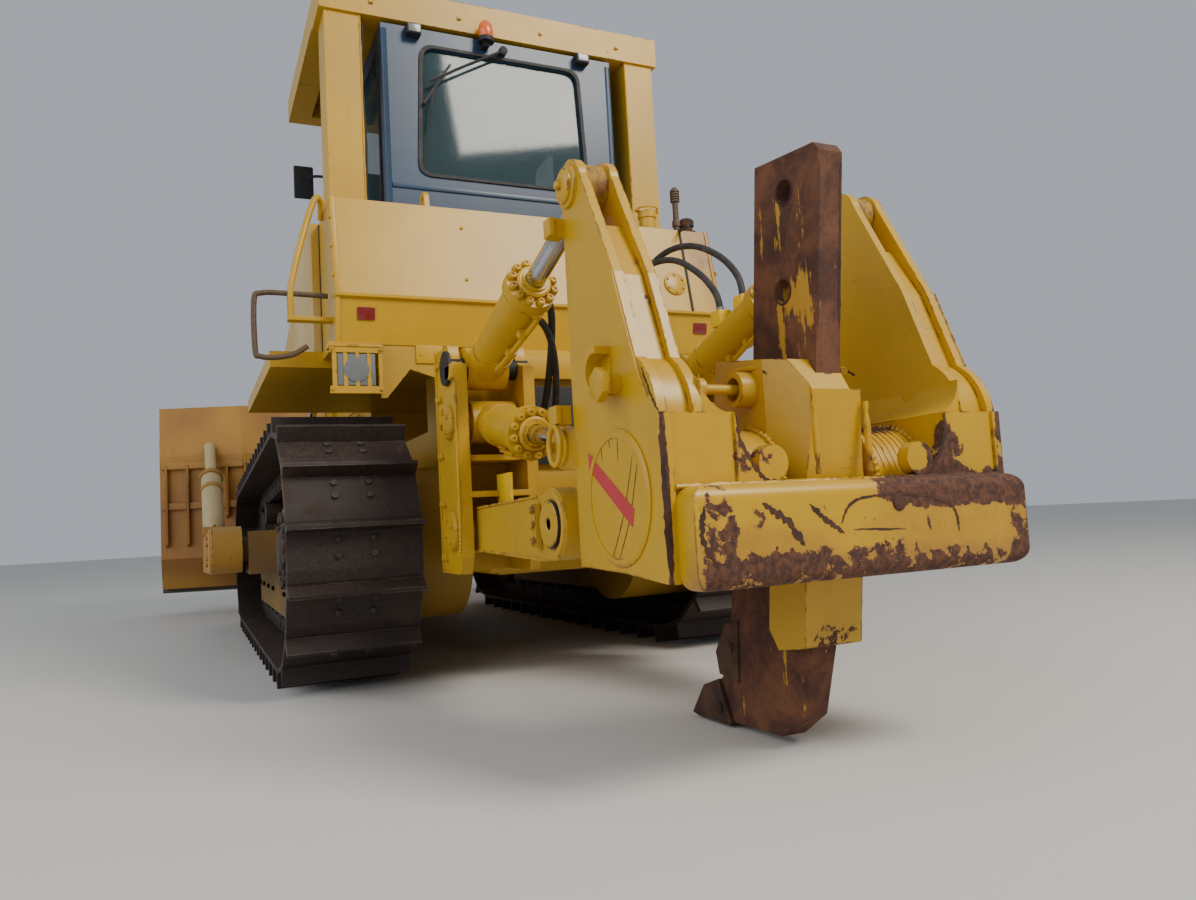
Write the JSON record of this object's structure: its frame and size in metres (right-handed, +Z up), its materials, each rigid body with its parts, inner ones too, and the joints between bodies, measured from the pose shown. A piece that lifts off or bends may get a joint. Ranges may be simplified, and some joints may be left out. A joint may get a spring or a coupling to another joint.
{
  "type": "crawler bulldozer",
  "caption": "Large crawler bulldozer with a semi-U blade on outer push arms, cab under a roll-over frame, and a single-shank ripper on a four-bar linkage.",
  "frame": {"origin": "on the ground under the middle of the machine", "axes": "+X forward to the blade, +Y to the machine's left, +Z up"},
  "size_m": [10.19, 4.694, 4.48],
  "materials": {
    "yellow_paint": "satin, worn",
    "cab_paint": "satin",
    "worn_steel": "worn, earthy",
    "rusty_steel": "rusty",
    "chrome": "polished",
    "dark_steel": "dull",
    "cream_paint": "satin",
    "glass": "clear",
    "seat_fabric": "woven"
  },
  "bodies": {
    "machine": {"cab_glass": "glass", "cab_interior": "seat_fabric", "cab_shell": "cab_paint", "deck": "yellow_paint", "engine": "dark_steel", "engine_panels": "yellow_paint", "final_drives": "yellow_paint", "fuel_tank": "yellow_paint", "hood": "yellow_paint", "hull": "yellow_paint", "idlers": "worn_steel", "lamp_guards": "yellow_paint", "pivot_bars": "worn_steel", "radiator_grille": "dark_steel", "radiator_guard": "yellow_paint", "ripper_bracket": "yellow_paint", "rollover_frame": "cab_paint", "side_boxes": "yellow_paint", "sprockets": "worn_steel", "stacks": "dark_steel", "track_frames": "yellow_paint", "track_left": "worn_steel", "track_right": "worn_steel", "track_rollers": "worn_steel"},
    "blade": {"blade": "yellow_paint", "cutting_edge": "worn_steel", "push_arms": "yellow_paint", "braces": "cream_paint"},
    "lift_barrel": {"lift_barrels": "yellow_paint"},
    "lift_rod": {"lift_rods": "chrome"},
    "arms": {"ripper_arms": "yellow_paint"},
    "beam_pin": {"beam_pins": "dark_steel"},
    "beam": {"ripper_beam": "yellow_paint", "pin_puller": "yellow_paint"},
    "shank": {"shank": "rusty_steel", "shank_point": "rusty_steel"},
    "tilt_pin": {"tilt_pins": "dark_steel"},
    "tilt_barrel": {"tilt_barrels": "yellow_paint"},
    "tilt_rod": {"tilt_rods": "chrome"},
    "raise_barrel": {"raise_barrels": "yellow_paint"},
    "raise_rod": {"raise_rods": "chrome"},
    "engine_door_l": {"engine_door_left": "yellow_paint"},
    "engine_door_r": {"engine_door_right": "yellow_paint"},
    "cab_door_l": {"cab_door_left": "cab_paint"},
    "cab_door_r": {"cab_door_right": "cab_paint"}
  },
  "joints": [
    {"name": "blade_lift", "type": "hinge", "parent": "machine", "child": "blade", "pos_m": [-0.255, 0, 0.8], "axis": [0, -1, 0], "range_deg": [-11.2, 16.5]},
    {"name": "lift_trunnion", "type": "hinge", "parent": "machine", "child": "lift_barrel", "pos_m": [2.545, 0, 2.45], "axis": [0, 1, 0], "range_deg": [-25.25, 17.15]},
    {"name": "lift_stroke", "type": "slide", "parent": "lift_barrel", "child": "lift_rod", "axis": [0.7143, 0, -0.6998], "range_m": [-0.8401, 0.5704]},
    {"name": "ripper_lift", "type": "hinge", "parent": "machine", "child": "arms", "pos_m": [-2.955, 0, 0.86], "axis": [0, 1, 0], "range_deg": [-34, 38]},
    {"name": "beam_swing", "type": "hinge", "parent": "arms", "child": "beam_pin", "pos_m": [-4.075, 0, 0.868], "axis": [0, 1, 0], "range_deg": [-27.52, 24.63]},
    {"name": "ripper_tilt", "type": "hinge", "parent": "beam_pin", "child": "beam", "pos_m": [-4.075, 0, 0.868], "axis": [0, 1, 0], "range_deg": [-10, 10]},
    {"name": "shank_slide", "type": "slide", "parent": "beam", "child": "shank", "axis": [-0.1289, 0, 0.9917], "range_m": [-0.7261, 0]},
    {"name": "tilt_base", "type": "hinge", "parent": "machine", "child": "tilt_pin", "pos_m": [-2.955, 0, 1.69], "axis": [0, 1, 0], "range_deg": [-28.56, 31.92]},
    {"name": "tilt_swing", "type": "hinge", "parent": "tilt_pin", "child": "tilt_barrel", "pos_m": [-2.955, 0, 1.69], "axis": [0, 1, 0], "range_deg": [-4.67, 4.67]},
    {"name": "tilt_stroke", "type": "slide", "parent": "tilt_barrel", "child": "tilt_rod", "axis": [-0.9533, 0, 0.3021], "range_m": [-0.1594, 0.1594]},
    {"name": "raise_base", "type": "hinge", "parent": "machine", "child": "raise_barrel", "pos_m": [-2.955, 0, 1.412], "axis": [0, 1, 0], "range_deg": [-30.54, 34.13]},
    {"name": "raise_stroke", "type": "slide", "parent": "raise_barrel", "child": "raise_rod", "axis": [-0.9801, 0, -0.1984], "range_m": [-0.2103, 0.1882]},
    {"name": "engine_door_left_hinge", "type": "hinge", "parent": "machine", "child": "engine_door_l", "pos_m": [0.445, 0.615, 1.95], "axis": [0, 0, 1], "range_deg": [0, 90]},
    {"name": "engine_door_right_hinge", "type": "hinge", "parent": "machine", "child": "engine_door_r", "pos_m": [0.445, -0.615, 1.95], "axis": [0, 0, -1], "range_deg": [0, 90]},
    {"name": "cab_door_left_hinge", "type": "hinge", "parent": "machine", "child": "cab_door_l", "pos_m": [-0.005, 0.855, 3.35], "axis": [0, 0, -1], "range_deg": [0, 85]},
    {"name": "cab_door_right_hinge", "type": "hinge", "parent": "machine", "child": "cab_door_r", "pos_m": [-0.005, -0.855, 3.35], "axis": [0, 0, 1], "range_deg": [0, 85]}
  ],
  "couplings": [
    {"joint": "lift_trunnion", "follows": "blade_lift", "ratio": -1.5292},
    {"joint": "lift_stroke", "follows": "blade_lift", "m_per_rad": -2.9155},
    {"joint": "beam_swing", "follows": "ripper_lift", "ratio": -0.72371},
    {"joint": "tilt_base", "follows": "ripper_lift", "ratio": 0.83948},
    {"joint": "tilt_swing", "follows": "ripper_tilt", "ratio": 0.46541},
    {"joint": "tilt_stroke", "follows": "ripper_tilt", "m_per_rad": -0.91037},
    {"joint": "raise_base", "follows": "ripper_lift", "ratio": 0.89752},
    {"joint": "raise_stroke", "follows": "ripper_lift", "m_per_rad": -0.31629}
  ]
}
